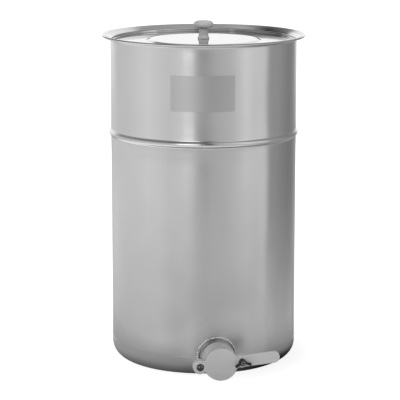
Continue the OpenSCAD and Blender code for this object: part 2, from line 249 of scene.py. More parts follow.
# Places that the frame gives
wall_r = node_box("drum_bottom")[1].x
wall_mid = wall_r - SHEET / 2
seam_z = node_box("drum_shell")[0].z
rim_r = node_box("drum_shell")[1].x
rim_z = node_box("drum_shell")[1].z
lid_floor = node_box("lid_pan")[0].z + SHEET / 2
lid_top = node_box("lid_knob")[0].z
knob_top = node_box("lid_knob")[1].z
screw_low = node_box("knob_screw")[0].z
screw_high = node_box("knob_screw")[1].z
label_low = node_box("label_plate")[0].z
label_high = node_box("label_plate")[1].z
spigot_end = -node_box("gate_body")[1].y
shoulder_at = -node_box("gate_gasket")[0].y
face_at = -node_box("gate_body")[0].y
blade_back = -node_box("gate_blade")[1].y
blade_front = -node_box("gate_blade")[0].y
pivot_low = -node_box("pivot_bolt")[1].y
pivot_nut_top = -node_box("pivot_nut")[0].y
pivot_nut_low = -node_box("pivot_nut")[1].y
pivot_seat = -node_box("clamp_washer")[1].y
pivot_top = pivot_seat + PIVOT_HEAD_H
clamp_low = -node_box("clamp_bolt")[1].y
clamp_tip = -node_box("clamp_bolt")[0].y
wing_foot = -node_box("clamp_washer")[0].y
joints = {joint["name"]: joint for joint in frame["joints"]}
pivot = Vector(joints["gate_swing"]["pos_m"]) / MM
clamp = Vector(joints["wing_nut_turn"]["pos_m"]) / MM
outlet_z = (pivot.z + clamp.z) / 2
bolt_x = math.hypot(clamp.x - pivot.x, clamp.z - pivot.z) / 2
gate_roll = math.atan2(clamp.z - pivot.z, clamp.x - pivot.x)
ear_back = face_at - EAR_T

# The outlet's frame: x to the viewer's right, y up, z out along the outlet's axis
AT_OUTLET = Matrix.Translation((0, 0, outlet_z)) @ Matrix.Rotation(math.pi / 2, 4, "X")
AT_GATE = AT_OUTLET @ Matrix.Rotation(gate_roll, 4, "Z")
AT_PIVOT = AT_GATE @ Matrix.Translation((-bolt_x, 0, 0))
AT_CLAMP = AT_GATE @ Matrix.Translation((bolt_x, 0, 0))


def ease(value, low, high):
    """0 below low, 1 above high, and smooth between."""
    share = min(max((value - low) / (high - low), 0), 1)
    return share * share * (3 - 2 * share)


def steps_between(low, high, step):
    """Places from low to high, at most step apart."""
    count = max(1, math.ceil((high - low) / step))
    return [low + (high - low) * i / count for i in range(count + 1)]


def arc(centre, r, first, turn):
    """Points of an arc about a centre."""
    count = max(1, math.ceil(abs(turn) / BEND_STEP))
    angles = [first + turn * i / count for i in range(count + 1)]
    return [Vector((centre[0] + r * math.cos(a), centre[1] + r * math.sin(a))) for a in angles]


def bend(a, b, c, r):
    """Points of a bend of radius r that rounds corner b between a and c."""
    u = (a - b).normalized()
    w = (c - b).normalized()
    half = math.acos(u.dot(w)) / 2
    centre = b + (u + w).normalized() * (r / math.sin(half))
    start = b + u * (r / math.tan(half)) - centre
    side = math.copysign(1, u.x * w.y - u.y * w.x)
    return arc(centre, r, math.atan2(start.y, start.x), -side * (math.pi - 2 * half))


def bent_line(corners):
    """A line with corners of (r, z, bend radius). A corner without a radius stays sharp."""
    spots = [Vector(corner[:2]) for corner in corners]
    line = [spots[0]]
    for i in range(1, len(spots) - 1):
        sharp = len(corners[i]) == 2
        line += [spots[i]] if sharp else bend(spots[i - 1], spots[i], spots[i + 1], corners[i][2])
    return line + [spots[-1]]


def fine(line, step):
    """The same line with its long straight runs cut into short ones."""
    cut_line = []
    for a, b in zip(line, line[1:]):
        count = max(1, math.ceil((b - a).length / step))
        cut_line += [a.lerp(b, i / count) for i in range(count)]
    return cut_line + [line[-1]]


def beside(line, d):
    """A line moved sideways by d, to the left of the way it runs."""
    ways = [(b - a).normalized() for a, b in zip(line, line[1:])]
    left = [Vector((-way.y, way.x)) for way in ways]
    moved = []
    for spot, n0, n1 in zip(line, left[:1] + left, left + left[-1:]):
        n = (n0 + n1).normalized()
        moved.append(spot + n * (d / n.dot(n1)))
    return moved


def sheet_section(line):
    return beside(line, SHEET / 2) + beside(line, -SHEET / 2)[::-1]


def smooth(mesh):
    mesh.shade_smooth()
    mesh.set_sharp_from_angle(angle=EDGE_ANGLE)


def solid(name, points, faces, place=Matrix()):
    """A new mesh object, with its faces turned outwards."""
    mesh = bpy.data.meshes.new(name)
    mesh.from_pydata(points, [], faces)
    mesh.transform(Matrix.Scale(MM, 4) @ place)
    work = bmesh.new()
    work.from_mesh(mesh)
    bmesh.ops.recalc_face_normals(work, faces=work.faces)
    work.to_mesh(mesh)
    work.free()
    smooth(mesh)
    made = bpy.data.objects.new(name, mesh)
    bpy.context.scene.collection.objects.link(made)
    return made


def revolve(name, section, steps=96, shape=None, place=Matrix()):
    """A closed section of (r, z) points turned about Z. shape moves a point, given its angle, r and z."""
    points = []
    rings = []
    for r, z in section:
        if r < TINY:
            rings.append([len(points)] * steps)
            points.append((0, 0, z))
            continue
        rings.append(range(len(points), len(points) + steps))
        for k in range(steps):
            angle = 2 * math.pi * k / steps
            reach, height = shape(angle, r, z) if shape else (r, z)
            points.append((reach * math.cos(angle), reach * math.sin(angle), height))
    faces = []
    for a, b in zip(rings, rings[1:] + rings[:1]):
        for k in range(steps):
            n = (k + 1) % steps
            face = tuple(dict.fromkeys((a[k], a[n], b[n], b[k])))
            if len(face) > 2:
                faces.append(face)
    return solid(name, points, faces, place)


def loft(name, rings, closed=False, place=Matrix()):
    """A skin over rings that all have the same number of points, with flat ends unless it is closed."""
    count = len(rings[0])
    points = [point for ring in rings for point in ring]
    faces = []
    for i in range(len(rings) if closed else len(rings) - 1):
        a = i * count
        b = (i + 1) % len(rings) * count
        faces += [(a + k, a + (k + 1) % count, b + (k + 1) % count, b + k) for k in range(count)]
    if not closed:
        faces += [tuple(range(count)), tuple(range(len(points) - count, len(points)))]
    return solid(name, points, faces, place)


def belt(pulleys):
    """Outline round pulleys of (x, y, r), counterclockwise, as points and outward normals.

    A hollow has r below 0.
    """
    ways = []
    for a, b in zip(pulleys, pulleys[1:] + pulleys[:1]):
        along = Vector(b[:2]) - Vector(a[:2])
        u = along.normalized()
        k = max(-1, min(1, (a[2] - b[2]) / along.length))
        n = u * k + Vector((u.y, -u.x)) * math.sqrt(1 - k * k)
        ways.append(math.atan2(n.y, n.x))
    outline = []
    for (x, y, r), first, last in zip(pulleys, ways[-1:] + ways[:-1], ways):
        turn = (last - first) % (2 * math.pi) if r > 0 else -((first - last) % (2 * math.pi))
        if abs(turn) > 2 * math.pi - TINY * 100:
            turn = 0
        for normal in arc((0, 0), 1, first, turn):
            outline.append((Vector((x, y)) + normal * r, normal))
    # Circles that touch share a point
    return [a for a, b in zip(outline, outline[1:] + outline[:1]) if (a[0] - b[0]).length > TOUCH]


def hollow(a, b, r):
    """The fillet of radius r in the corner on the right of the way from pulley a to pulley b."""
    start = Vector(a[:2])
    along = Vector(b[:2]) - start
    u = along.normalized()
    ra = a[2] + r
    rb = b[2] + r
    x = (ra * ra - rb * rb + along.length_squared) / (2 * along.length)
    spot = start + u * x + Vector((u.y, -u.x)) * math.sqrt(ra * ra - x * x)
    return (spot.x, spot.y, -r)


def plate(name, outline, low, high, front, back, place):
    """A flat plate with rounded edges. A ring just inside each edge keeps its faces flat."""
    hold = 0.4
    edge_steps = 5
    turns = [math.pi / 2 * i / edge_steps for i in range(edge_steps + 1)]
    rows = [(low, back + hold)]
    rows += [(low + back * (1 - math.cos(t)), back * (1 - math.sin(t))) for t in turns]
    rows += [(high - front * (1 - math.sin(t)), front * (1 - math.cos(t))) for t in turns]
    rows.append((high, front + hold))
    rings = [[(*(spot - normal * inset), z) for spot, normal in outline] for z, inset in rows]
    return loft(name, rings, place=place)


def rod(r, low, high, place):
    """A plain round bar, for cutting with."""
    return revolve("rod", [(0, low), (r, low), (r, high), (0, high)], place=place)


def bake(piece):
    """Makes a piece's modifiers part of its mesh, and merges doubled points."""
    depsgraph = bpy.context.evaluated_depsgraph_get()
    mesh = bpy.data.meshes.new_from_object(piece.evaluated_get(depsgraph))
    piece.modifiers.clear()
    piece.data = mesh
    work = bmesh.new()
    work.from_mesh(mesh)
    bmesh.ops.remove_doubles(work, verts=work.verts, dist=TINY)
    work.to_mesh(mesh)
    work.free()
    smooth(mesh)


def join(piece, operation, tools):
    """Adds tools to a piece or cuts them from it, and takes the tools away."""
    for tool in tools:
        step = piece.modifiers.new("join", "BOOLEAN")
        step.operation = operation
        step.solver = "MANIFOLD"
        step.object = tool
    bake(piece)
    for tool in tools:
        bpy.data.objects.remove(tool)
    return piece


def hex_cosine(angle):
    """Cosine of the turn from the middle of a hexagon's nearest flat."""
    return math.cos(angle % HEX_TURN - HEX_TURN / 2)


def hexagon(af):
    """A shape that keeps points inside a hexagon of a width across its flats."""
    def shape(angle, r, z):
        return min(r, af / 2 / hex_cosine(angle)), z
    return shape


def keyed(limit, low, high):
    """A shape that makes a hexagonal key socket of the points nearer than limit between two heights."""
    def shape(angle, r, z):
        inside = r < limit and low < z < high
        return (r / hex_cosine(angle) if inside else r), z
    return shape


def thread(pitch, low, high, base=None):
    """A shape that cuts a screw thread between two heights."""
    depth = THREAD_DEPTH * pitch

    def shape(angle, r, z):
        if base:
            r, z = base(angle, r, z)
        if low < z < high:
            phase = (z / pitch - angle / (2 * math.pi)) % 1
            r -= depth * abs(2 * phase - 1)
        return r, z
    return shape


def dent(angle, z):
    """How far the rolled wall lies inside its true circle: nothing near its seam, bead, rim and outlet."""
    spot = Vector((math.cos(angle), math.sin(angle), 0))
    wave = noise.noise(spot * DENT_WAVES + Vector((0, 0, z / DENT_WAVE_H)))
    ripple = noise.noise(spot * DENT_RIPPLES + Vector((3, 0, z / DENT_RIPPLE_H)))
    from_outlet = math.hypot(wall_r * spot.x, z - outlet_z) if spot.y < 0 else wall_r
    still = ease(z - seam_z, *STILL_SEAM) * ease(abs(z - BEAD_Z), *STILL_BEAD)
    still *= ease(rim_z - z, *STILL_RIM) * ease(from_outlet, *STILL_OUTLET)
    return max(0, DENT_MEAN + DENT_WAVE * wave + DENT_RIPPLE * ripple) * still


def dented(angle, r, z):
    return r - dent(angle, z), z


def flare_foot():
    """The curl's centre and radius, the flare's end, and the height where its line meets the wall's."""
    curl_mid = (CURL_D - SHEET) / 2
    centre = Vector((rim_r - CURL_D / 2, rim_z - CURL_D / 2))
    start = centre + Vector((-math.sin(FLARE_ANGLE), math.cos(FLARE_ANGLE))) * curl_mid
    return centre, curl_mid, start, start.y - (start.x - wall_mid) * math.tan(FLARE_ANGLE)


def shell_line():
    """Mid line of the wall from the bottom's seam over the bead to the curled rim."""
    flank = 2 * BEAD_LEAN * math.atan(BEAD_OUT / BEAD_HALF)
    foot = BEAD_HALF - BEAD_FILLET * math.tan(flank / 2)
    apex = foot * math.tan(flank)
    crest = (apex - BEAD_OUT) / (1 / math.cos(flank) - 1)
    centre, curl_mid, start, foot_z = flare_foot()
    line = bent_line([
        (wall_mid, seam_z), (wall_mid, BEAD_Z - foot, BEAD_FILLET), (wall_mid + apex, BEAD_Z, crest),
        (wall_mid, BEAD_Z + foot, BEAD_FILLET), (wall_mid, foot_z, FLARE_BEND), start])
    return line + arc(centre, curl_mid, math.pi / 2 + FLARE_ANGLE, -CURL_TURN)[1:]


def lid_line():
    """Mid line of the lid from its hole out to the lip that follows the drum's flare."""
    foot_z = flare_foot()[3]
    corner_z = foot_z + (LID_SIDE_R - wall_mid) * math.tan(FLARE_ANGLE) + LID_GAP / math.cos(FLARE_ANGLE)
    end_z = corner_z + (LID_LIP_R - LID_SIDE_R) * math.tan(FLARE_ANGLE)
    return bent_line([
        (LID_HOLE_R, lid_floor + LID_STEP), (LID_SLOPE_TOP_R, lid_floor + LID_STEP, LID_SLOPE_BEND),
        (LID_SLOPE_FOOT_R, lid_floor, LID_SLOPE_BEND), (LID_SIDE_R, lid_floor, LID_BEND),
        (LID_SIDE_R, corner_z, FLARE_BEND), (LID_LIP_R, end_z)])


def outlet_cutter():
    """A bar that cuts the outlet's hole in the drum."""
    return rod(OUTLET_HOLE_R, wall_r - KNUCKLE_R, wall_r + PAST, AT_OUTLET)


def make_wall():
    wall = revolve("wall", sheet_section(fine(shell_line(), WALL_STEP)), steps=DRUM_STEPS, shape=dented)
    return join(wall, "DIFFERENCE", [outlet_cutter()])


def make_bottom():
    line = bent_line([(0, SHEET / 2), (wall_mid, SHEET / 2, KNUCKLE_R - SHEET / 2), (wall_mid, seam_z)])
    bottom = revolve("bottom", sheet_section(fine(line, WALL_STEP)), steps=DRUM_STEPS)
    return join(bottom, "DIFFERENCE", [outlet_cutter()])


def make_seams():
    """Flattened weld up the back of the wall, and the weld between wall and bottom."""
    mid = []
    for spot in fine(shell_line(), WALL_STEP):
        if spot.x > rim_r - CURL_D:
            break
        mid.append(spot)
    turn = SEAM_HALF / wall_r
    section = (
        (-1, -SEAM_SUNK), (-1, 0), (-0.5, SEAM_PROUD), (0.5, SEAM_PROUD), (1, 0), (1, -SEAM_SUNK))
    rings = []
    for spot, skin in zip(mid, beside(mid, -SHEET / 2)):
        out = (skin - spot).normalized()
        ring = []
        for side, lift in section:
            angle = math.pi / 2 + side * turn
            place = skin + out * lift
            reach = place.x - dent(angle, place.y)
            ring.append((reach * math.cos(angle), reach * math.sin(angle), place.y))
        rings.append(ring)
    foot = arc((wall_r - FOOT_WELD_SUNK, seam_z), FOOT_WELD_R, 0, 2 * math.pi)[:-1]
    return loft("wall_seam", rings), revolve("bottom_seam", foot, steps=DRUM_STEPS)


def make_socket_weld():
    """Lumpy weld in the corner between the outlet's flange and the drum."""
    rings = []
    for k in range(WELD_STEPS):
        angle = 2 * math.pi * k / WELD_STEPS
        x = FLANGE_R * math.cos(angle)
        z = outlet_z + FLANGE_R * math.sin(angle)
        drop = max(0, KNUCKLE_R - z)
        drum_r = wall_r - KNUCKLE_R + math.sqrt(KNUCKLE_R * KNUCKLE_R - drop * drop)
        centre = Vector((x, -math.sqrt(drum_r * drum_r - x * x), z))
        away = Vector((math.cos(angle), 0, math.sin(angle)))
        ripple = WELD_RIPPLE * math.sin(angle * WELD_RIPPLES)
        thick = WELD_R + ripple + WELD_LUMP * noise.noise(away * WELD_LUMPS)
        ring = []
        for corner in arc((0, 0), thick, 0, 2 * math.pi)[:-1:4]:
            ring.append(centre + away * corner.x + Vector((0, -corner.y, 0)))
        rings.append(ring)
    return loft("socket_weld", rings, closed=True)


def make_label():
    """Bare film with small round corners, lying on the wall."""
    fan = [LABEL_CORNER * (1 - math.cos(math.pi / 2 * i / LABEL_FAN)) for i in range(LABEL_FAN)]
    columns = fan + steps_between(LABEL_CORNER, LABEL_W - LABEL_CORNER, LABEL_STEP)
    columns += [LABEL_W - s for s in fan[::-1]]
    rings = []
    for s in columns:
        angle = -math.pi / 2 + LABEL_TURN + (s - LABEL_W / 2) / wall_r
        depth = max(0, LABEL_CORNER - min(s, LABEL_W - s))
        short = LABEL_CORNER - math.sqrt(LABEL_CORNER * LABEL_CORNER - depth * depth)
        foot = label_low + short
        heights = [foot + (label_high - short - foot) * i / LABEL_ROWS for i in range(LABEL_ROWS + 1)]
        ring = []
        for lift, rows in ((LABEL_GAP + LABEL_T, heights), (LABEL_GAP, heights[::-1])):
            for z in rows:
                r = wall_r + lift - dent(angle, z)
                ring.append((r * math.cos(angle), r * math.sin(angle), z))
        rings.append(ring)
    return loft("label", rings)


def make_lid():
    """Sunk lid, slightly uneven on its two flats."""
    def uneven(angle, r, z):
        plateau = ease(r, *LID_STILL_KNOB) * ease(LID_SLOPE_TOP_R - r, *LID_STILL_TOP)
        band = ease(r - LID_SLOPE_FOOT_R, *LID_STILL_FOOT) * ease(LID_SIDE_R - r, *LID_STILL_SIDE)
        spot = Vector((r * math.cos(angle) / LID_WAVE_L, r * math.sin(angle) / LID_WAVE_L, 1))
        return r, z + LID_WAVE * noise.noise(spot) * (plateau + band)
    return revolve("lid", sheet_section(fine(lid_line(), LID_FINE_STEP)), steps=DRUM_STEPS, shape=uneven)


def make_knob():
    """Mushroom knob on a tapered foot, hollow for its threaded core."""
    waist = knob_top - CAP_HALF
    under = -math.acos((STEM_R / CAP_R) ** (1 / CAP_SIDE))
    cap = []
    for i in range(CAP_STEPS):
        a = under + (math.pi / 2 - under) * i / CAP_STEPS
        rise = math.copysign(abs(math.sin(a)) ** CAP_CROWN, a)
        cap.append((CAP_R * math.cos(a) ** CAP_SIDE, waist + CAP_HALF * rise))
    line = bent_line([
        (INSERT_R, lid_top), (FOOT_R, lid_top, SMALL_ROUND), (FOOT_R, lid_top + FOOT_H, FOOT_TOP_ROUND),
        (STEM_R, lid_top + FOOT_H + FOOT_TAPER, STEM_BEND), cap[0]])
    line += cap[1:] + [(0, knob_top), (0, lid_top + INSERT_L), (INSERT_R, lid_top + INSERT_L)]
    return revolve("knob", line, steps=RING_STEPS)


def make_knob_screw():
    """Round-headed screw with a key socket below and a thread in the knob."""
    seat = screw_low + SCREW_HEAD_H
    thread_low = seat + SCREW_NECK
    thread_high = screw_high - SCREW_TIP
    key_top = screw_low + KEY_DEPTH
    corner = Vector((SCREW_HEAD_R, screw_low))
    section = [(0, key_top), (KEY_R, key_top), (KEY_R, screw_low + KEY_LEAD), (KEY_R + KEY_LEAD, screw_low)]
    section += bend(Vector((0, screw_low)), corner, Vector((SCREW_HEAD_R, seat)), SCREW_HEAD_ROUND)
    section += [(SCREW_HEAD_R, seat - HEAD_EDGE), (SCREW_HEAD_R - HEAD_EDGE, seat), (SCREW_R, seat)]
    section += [(SCREW_R, z) for z in steps_between(thread_low, thread_high, THREAD_STEP)]
    section += [(SCREW_R - M8_TIP, screw_high), (0, screw_high)]
    key = keyed(KEY_R + KEY_LEAD + KEY_MARGIN, screw_low - PAST, seat)
    return revolve("knob_screw", section, shape=thread(M8_PITCH, thread_low, thread_high, base=key))


def gate_face():
    """Outline of the gate's face: the barrel with an ear on each side."""
    barrel = (0, 0, BARREL_R)
    right = (bolt_x, 0, EAR_R)
    left = (-bolt_x, 0, EAR_R)
    return belt([
        barrel, hollow(barrel, right, EAR_FILLET), right, hollow(right, barrel, EAR_FILLET),
        barrel, hollow(barrel, left, EAR_FILLET), left, hollow(left, barrel, EAR_FILLET)])


def make_gate_body():
    """Moulded barrel with two ears, a web behind each ear, and a groove in its face for the seal."""
    body = plate("gate_body", gate_face(), ear_back, face_at, SMALL_ROUND, BODY_BACK_ROUND, AT_GATE)
    reach = BARREL_R - BARREL_INSET
    rough_r = OUTLET_R - BORE_SPARE
    barrel_end = face_at - BARREL_SHY
    section = bent_line([
        (rough_r, spigot_end), (SPIGOT_R - SPIGOT_LEAD, spigot_end), (SPIGOT_R, spigot_end + SPIGOT_LEAD),
        (SPIGOT_R, shoulder_at), (reach, shoulder_at, SHOULDER_BEND), (reach, barrel_end),
        (rough_r, barrel_end)])
    added = [revolve("barrel", section, steps=RING_STEPS, place=AT_GATE)]
    web_root = OUTLET_R + BORE_SPARE
    web_low = ear_back - WEB_L
    web_high = ear_back + PAST
    web = [(web_root, web_low), (reach, web_low), (bolt_x - EAR_R / 2, web_high), (web_root, web_high)]
    for side in (1, -1):
        rings = [[(side * x, y, z) for x, z in web] for y in (-WEB_HALF, WEB_HALF)]
        added.append(loft("web", rings, place=AT_GATE))
    join(body, "UNION", added)
    back = ear_back - PAST
    front = face_at + PAST
    groove_floor = face_at - SEAL_DEPTH
    groove = [
        (SEAL_R - SEAL_HALF, groove_floor), (SEAL_R + SEAL_HALF, groove_floor),
        (SEAL_R + SEAL_HALF, front), (SEAL_R - SEAL_HALF, front)]
    pocket_r = CLAMP_HEAD_AF / 2 + BOLT_PLAY
    pocket_top = clamp_low + CLAMP_HEAD_H
    pocket = [(0, back), (2 * pocket_r, back), (2 * pocket_r, pocket_top), (0, pocket_top)]
    return join(body, "DIFFERENCE", [
        rod(OUTLET_R, spigot_end - PAST, front, AT_GATE),
        revolve("groove", groove, steps=RING_STEPS, place=AT_GATE),
        rod(PIVOT_R + BOLT_PLAY, back, front, AT_PIVOT),
        rod(CLAMP_R + BOLT_PLAY, back, front, AT_CLAMP),
        revolve("pocket", pocket, shape=hexagon(2 * pocket_r), place=AT_CLAMP)])


def make_gate_blade():
    """Round disc with an ear at the pivot and a flat handle, with a curved slot for the clamp bolt."""
    disc = (0, 0, BLADE_R)
    ear = (-bolt_x, 0, EAR_R)
    handle = (HANDLE_END, HANDLE_RISE, HANDLE_HALF)
    reach = BLADE_R + HANDLE_FILLET
    low_y = HANDLE_RISE - HANDLE_HALF - HANDLE_FILLET
    high_y = HANDLE_RISE + HANDLE_HALF + HANDLE_FILLET
    under = (math.sqrt(reach * reach - low_y * low_y), low_y, -HANDLE_FILLET)
    over = (math.sqrt(reach * reach - high_y * high_y), high_y, -HANDLE_FILLET)
    outline = belt([
        disc, under, handle, over, disc, hollow(disc, ear, EAR_FILLET), ear, hollow(ear, disc, EAR_FILLET)])
    blade = plate("gate_blade", outline, blade_back, blade_front, BLADE_ROUND, BLADE_BACK_ROUND, AT_GATE)
    swing = 2 * bolt_x
    sides = arc((-bolt_x, 0), swing - SLOT_HALF, 0, -SLOT_TURN)
    sides += arc((-bolt_x, 0), swing + SLOT_HALF, -SLOT_TURN, SLOT_TURN)
    low = blade_back - PAST
    high = blade_front + PAST
    slot = loft("slot", [[(*spot, z) for spot in sides] for z in (low, high)], place=AT_GATE)
    return join(blade, "DIFFERENCE", [
        slot, rod(SLOT_POCKET_R, low - PAST / 2, high + PAST / 2, AT_CLAMP),
        rod(PIVOT_R + BOLT_PLAY, low, high, AT_PIVOT)])


def make_pivot_bolt():
    """Domed bolt with a key socket, threaded at its far end."""
    dome_r = (PIVOT_HEAD_R * PIVOT_HEAD_R + PIVOT_HEAD_H * PIVOT_HEAD_H) / (2 * PIVOT_HEAD_H)
    dome_mid = pivot_top - dome_r
    first = math.acos(PIVOT_HEAD_R / dome_r) + DOME_EDGE
    last = math.acos((KEY_R + KEY_RIM) / dome_r)
    key_edge = dome_mid + math.sqrt(dome_r * dome_r - KEY_R * KEY_R) - KEY_LEAD
    key_floor = pivot_top - KEY_DEPTH
    thread_low = pivot_low + M10_TIP
    section = [(0, pivot_low), (PIVOT_R - M10_TIP, pivot_low)]
    section += [(PIVOT_R, z) for z in steps_between(thread_low, pivot_nut_top, THREAD_STEP)]
    section += [(PIVOT_R, pivot_seat), (PIVOT_HEAD_R - HEAD_EDGE, pivot_seat)]
    section += arc((0, dome_mid), dome_r, first, last - first)
    section += [(KEY_R, key_edge), (KEY_R, key_floor), (0, key_floor)]
    key = keyed(KEY_R + KEY_MARGIN, pivot_seat, pivot_top)
    shape = thread(M10_PITCH, thread_low, pivot_nut_top, base=key)
    return revolve("pivot_bolt", section, shape=shape, place=AT_PIVOT)


def hex_bevel(af, share):
    """Reach of a hexagon's corners, reach of its round face, and the height of the bevel between them."""
    corner = af / 2 / math.cos(HEX_TURN / 2)
    face = af / 2 * share
    return corner, face, (corner - face) * math.tan(HEX_TURN / 2)


def make_pivot_nut():
    corner, face, lean = hex_bevel(PIVOT_NUT_AF, NUT_FACE)
    bore = PIVOT_R + NUT_PLAY
    section = [
        (bore + NUT_LEAD, pivot_nut_low), (face, pivot_nut_low), (corner, pivot_nut_low + lean),
        (corner, pivot_nut_top - lean), (face, pivot_nut_top), (bore, pivot_nut_top),
        (bore, pivot_nut_low + NUT_LEAD)]
    return revolve("pivot_nut", section, shape=hexagon(PIVOT_NUT_AF), place=AT_PIVOT)


def make_clamp_bolt():
    """Hexagon bolt that runs out through the blade's slot and the wing nut."""
    seat = clamp_low + CLAMP_HEAD_H
    thread_low = wing_foot - CLAMP_THREAD_BELOW
    thread_high = clamp_tip - M8_TIP
    corner, face, lean = hex_bevel(CLAMP_HEAD_AF, BOLT_FACE)
    section = [
        (0, clamp_low), (face, clamp_low), (corner, clamp_low + lean), (corner, seat), (CLAMP_R, seat)]
    section += [(CLAMP_R, z) for z in steps_between(thread_low, thread_high, CLAMP_THREAD_STEP)]
    section += [(CLAMP_R - M8_TIP, clamp_tip), (0, clamp_tip)]
    shape = thread(M8_PITCH, thread_low, thread_high, base=hexagon(CLAMP_HEAD_AF))
    return revolve("clamp_bolt", section, shape=shape, place=AT_CLAMP)


def ball(centre, r):
    """Points all over a ball."""
    half = 12
    spots = []
    for i in range(half + 1):
        lift = math.pi * (i / half - 0.5)
        for k in range(2 * half):
            turn = math.pi * k / half
            way = Vector((math.cos(lift) * math.cos(turn), math.cos(lift) * math.sin(turn), math.sin(lift)))
            spots.append(Vector(centre) + way * r)
    return spots


def make_wing_nut():
    """Moulded wing nut: a tapered hub that flows into two round-edged wings."""
    place = AT_CLAMP @ Matrix.Translation((0, 0, wing_foot)) @ Matrix.Rotation(WING_TURN, 4, "Z")
    hub = bent_line([(0, 0), (HUB_R, 0, SMALL_ROUND), (HUB_TIP_R, HUB_H, HUB_TIP_ROUND), (0, HUB_H)])
    nut = revolve("wing_nut", hub, place=place)
    wings = []
    for turn in (-WING_DROOP, math.pi + WING_DROOP):
        wing = bmesh.new()
        for r, z in WING_POINTS:
            for spot in ball((r * math.cos(turn), r * math.sin(turn), z), WING_R):
                wing.verts.new(spot)
        found = bmesh.ops.convex_hull(wing, input=wing.verts)
        spare = dict.fromkeys(found["geom_interior"] + found["geom_unused"])
        bmesh.ops.delete(wing, geom=list(spare), context="VERTS")
        wing.verts.index_update()
        points = [tuple(vert.co) for vert in wing.verts]
        faces = [[vert.index for vert in face.verts] for face in wing.faces]
        wing.free()
        wings.append(solid("wing", points, faces, place))
    join(nut, "UNION", wings)
    blocks = nut.modifiers.new("even", "REMESH")
    blocks.mode = "VOXEL"
    blocks.voxel_size = NUT_VOXEL * MM
    flow = nut.modifiers.new("flow", "SMOOTH")
    flow.factor = 0.5
    flow.iterations = 8
    bake(nut)
    return join(nut, "DIFFERENCE", [rod(NUT_INSERT_R, -PAST, HUB_H + WING_CLEAR, place)])


class Nodes:
    """Short words for building a tree of shader nodes."""

    def __init__(self, tree):
        self.tree = tree
        tree.nodes.clear()

    def add(self, kind, inputs=(), **settings):
        node = self.tree.nodes.new("ShaderNode" + kind)
        for name, value in settings.items():
            setattr(node, name, value)
        for name, value in dict(inputs).items():
            if isinstance(value, bpy.types.NodeSocket):
                self.tree.links.new(value, node.inputs[name])
            else:
                node.inputs[name].default_value = value
        return node

    def math(self, operation, a, b=0.0):
        return self.add("Math", {0: a, 1: b}, operation=operation).outputs[0]

    def span(self, value, low, high):
        """A value from 0 to 1 spread over low to high."""
        return self.add("MapRange", {0: value, 3: low, 4: high}).outputs[0]

    def share(self, value, low, high):
        """How far a value has come from low to high, from 0 to 1."""
        return self.add("MapRange", {0: value, 1: low, 2: high}).outputs[0]

    def ramp(self, fac, stops):
        """A ramp of (place, grey or colour) stops."""
        node = self.add("ValToRGB", {"Fac": fac})
        band = node.color_ramp
        band.elements.remove(band.elements[1])
        for i, (place, value) in enumerate(stops):
            element = band.elements[0] if i == 0 else band.elements.new(place)
            element.position = place
            grey = isinstance(value, (int, float))
            element.color = (value, value, value, 1) if grey else (*value, 1)
        return node.outputs["Color"]

    def mix(self, fac, a, b, blend="MIX"):
        node = self.add("Mix", data_type="RGBA", blend_type=blend)
        for place, value in (("Factor", fac), ("A", a), ("B", b)):
            kind = "Float" if place == "Factor" else "Color"
            socket = next(s for s in node.inputs if s.identifier == f"{place}_{kind}")
            if isinstance(value, bpy.types.NodeSocket):
                self.tree.links.new(value, socket)
            else:
                socket.default_value = value
        return next(s for s in node.outputs if s.identifier == "Result_Color")

    def place(self, scale=(1, 1, 1)):
        """Coordinates that stay with the piece, stretched by scale."""
        where = self.add("TexCoord").outputs["Object"]
        return self.add("Mapping", {"Vector": where, "Scale": scale}).outputs["Vector"]

    def noise(self, vector, scale, detail=3.0, rough=0.5):
        values = {"Vector": vector, "Scale": scale, "Detail": detail, "Roughness": rough}
        return self.add("TexNoise", values).outputs["Fac"]

    def bump(self, height, strength, distance):
        values = {"Height": height, "Strength": strength, "Distance": distance}
        return self.add("Bump", values).outputs["Normal"]

    def surface(self, shader):
        self.add("OutputMaterial", {"Surface": shader})


def material(name):
    made = bpy.data.materials.new(name)
    made.use_nodes = True
    return made, Nodes(made.node_tree)


def steel(name, tone, roughness, grain, spread=0.04, mark=0.03, ground=None):
    """Stainless steel: slow drifts of tone, grain along one way, and faint marks from handling.

    ground is a patch that was ground rougher: its middle, its inner and outer radius in metres, and the
    roughness added.
    """
    made, n = material(name)
    streaks = n.noise(n.place(grain), 1.0, detail=6.0, rough=0.6)
    clouds = n.noise(n.place((6, 6, 4)), 1.0, detail=2.0)
    marks = n.noise(n.place((22, 22, 60)), 1.0, detail=8.0, rough=0.7)
    colour = n.ramp(clouds, [(0.3, tone * 0.97), (0.7, tone * 1.03)])
    drift = n.math("ADD", n.span(streaks, -spread, spread), n.span(marks, -mark, mark))
    rough = n.math("ADD", drift, roughness)
    if ground:
        middle, inner, outer, added = ground
        away = n.add("VectorMath", {0: n.place(), 1: middle}, operation="DISTANCE").outputs["Value"]
        away = n.math("ADD", away, n.span(clouds, -inner, inner))
        uneven = n.share(away, outer, 2 * outer - inner)
        even = n.add("MapRange", {0: away, 1: inner, 2: outer, 3: roughness + added, 4: roughness},
                     interpolation_type="SMOOTHERSTEP").outputs[0]
        rough = n.math("ADD", n.math("MULTIPLY", drift, uneven), even)
    shader = n.add("BsdfPrincipled", {
        "Base Color": colour, "Metallic": 1.0, "Roughness": rough,
        "Normal": n.bump(streaks, 0.06, 0.2 * MM)})
    n.surface(shader.outputs[0])
    return made


